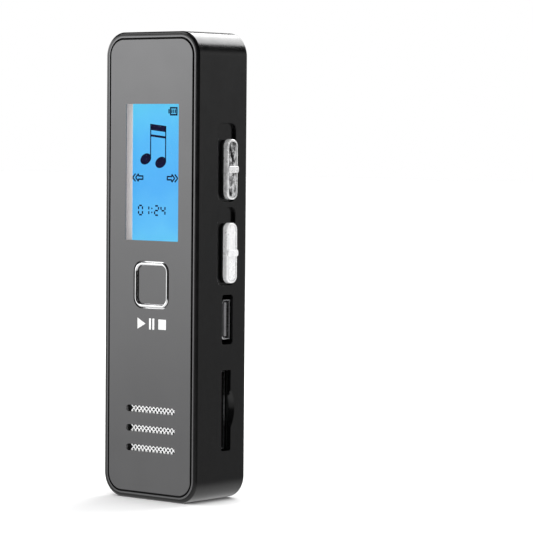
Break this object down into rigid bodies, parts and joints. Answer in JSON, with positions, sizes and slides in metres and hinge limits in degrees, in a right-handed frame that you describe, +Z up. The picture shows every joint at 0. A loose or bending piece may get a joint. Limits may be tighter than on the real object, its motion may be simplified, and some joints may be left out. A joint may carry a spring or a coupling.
{
  "type": "handheld voice recorder",
  "caption": "Pocket voice recorder with mirror front and back panels, a small backlit display, a square play key, slide switches, side keys, speaker slots and card, data and headphone sockets.",
  "frame": {"origin": "centre of the flat bottom face, on which the recorder stands", "axes": "+Z runs up along the recorder's length, -Y is the way its front faces, +X is the side with the slide switches and sockets"},
  "size_m": [0.0252, 0.0143, 0.088],
  "materials": {
    "housing_black": "glossy black coat",
    "mirror_panel": "dark mirror acrylic",
    "glue": "adhesive film",
    "clear_window": "clear",
    "lit_screen": "backlit blue",
    "white_tray": "matte",
    "foam": "foam",
    "flex": "polyimide film",
    "circuit_board": "green solder mask",
    "chip": "moulded epoxy",
    "chrome": "polished",
    "steel": "plated sheet",
    "speaker_mesh": "woven mesh",
    "cone": "matte",
    "black_plastic": "fine grain",
    "grey_plastic": "satin",
    "battery_foil": "laminated foil",
    "brass": "turned"
  },
  "bodies": {
    "housing": {"frame": "housing_black", "front_panel": "mirror_panel", "back_panel": "mirror_panel", "front_glue_ring": "glue", "back_glue_ring": "glue", "display_window": "clear_window", "lcd_panel": "lit_screen", "lcd_tray": "white_tray", "lcd_spacer": "foam", "display_flex": "flex", "main_board": "circuit_board", "board_screw_1": "steel", "board_screw_2": "steel", "board_screw_3": "steel", "board_screw_4": "steel", "processor": "chip", "flash_memory": "chip", "crystal": "steel", "usb_shell": "steel", "usb_tongue": "grey_plastic", "card_cover": "steel", "card_base": "black_plastic", "headphone_jack": "black_plastic", "jack_ring": "brass", "microphone": "steel", "microphone_boot": "foam", "speaker_mesh": "speaker_mesh", "speaker_foam": "foam", "speaker_frame": "steel", "speaker_cone": "cone", "battery_cell": "battery_foil", "battery_board": "circuit_board", "play_switch": "black_plastic", "rec_switch": "steel", "power_switch": "steel", "menu_switch": "black_plastic", "volume_switch": "black_plastic", "up_switch": "black_plastic", "down_switch": "black_plastic"},
    "play_button": {"play_rim": "chrome", "play_inlay": "mirror_panel", "play_plunger": "black_plastic"},
    "rec_slider": {"rec_knob": "chrome", "rec_actuator": "black_plastic"},
    "power_slider": {"power_knob": "chrome", "power_actuator": "black_plastic"},
    "menu_button": {"menu_key": "chrome", "menu_stem": "black_plastic"},
    "volume_button": {"volume_key": "chrome", "volume_stem": "black_plastic"},
    "up_button": {"up_key": "chrome", "up_stem": "black_plastic"},
    "down_button": {"down_key": "chrome", "down_stem": "black_plastic"}
  },
  "joints": [
    {"name": "play_press", "type": "slide", "parent": "housing", "child": "play_button", "axis": [0, 1, 0], "range_m": [0, 0.00035], "stiffness_N_per_m": 600},
    {"name": "rec_slide", "type": "slide", "parent": "housing", "child": "rec_slider", "axis": [0, 0, 1], "range_m": [0, 0.0026]},
    {"name": "power_slide", "type": "slide", "parent": "housing", "child": "power_slider", "axis": [0, 0, 1], "range_m": [0, 0.0026]},
    {"name": "menu_press", "type": "slide", "parent": "housing", "child": "menu_button", "axis": [1, 0, 0], "range_m": [0, 0.00035], "stiffness_N_per_m": 600},
    {"name": "volume_press", "type": "slide", "parent": "housing", "child": "volume_button", "axis": [1, 0, 0], "range_m": [0, 0.00035], "stiffness_N_per_m": 600},
    {"name": "up_press", "type": "slide", "parent": "housing", "child": "up_button", "axis": [1, 0, 0], "range_m": [0, 0.00035], "stiffness_N_per_m": 600},
    {"name": "down_press", "type": "slide", "parent": "housing", "child": "down_button", "axis": [1, 0, 0], "range_m": [0, 0.00035], "stiffness_N_per_m": 600}
  ]
}
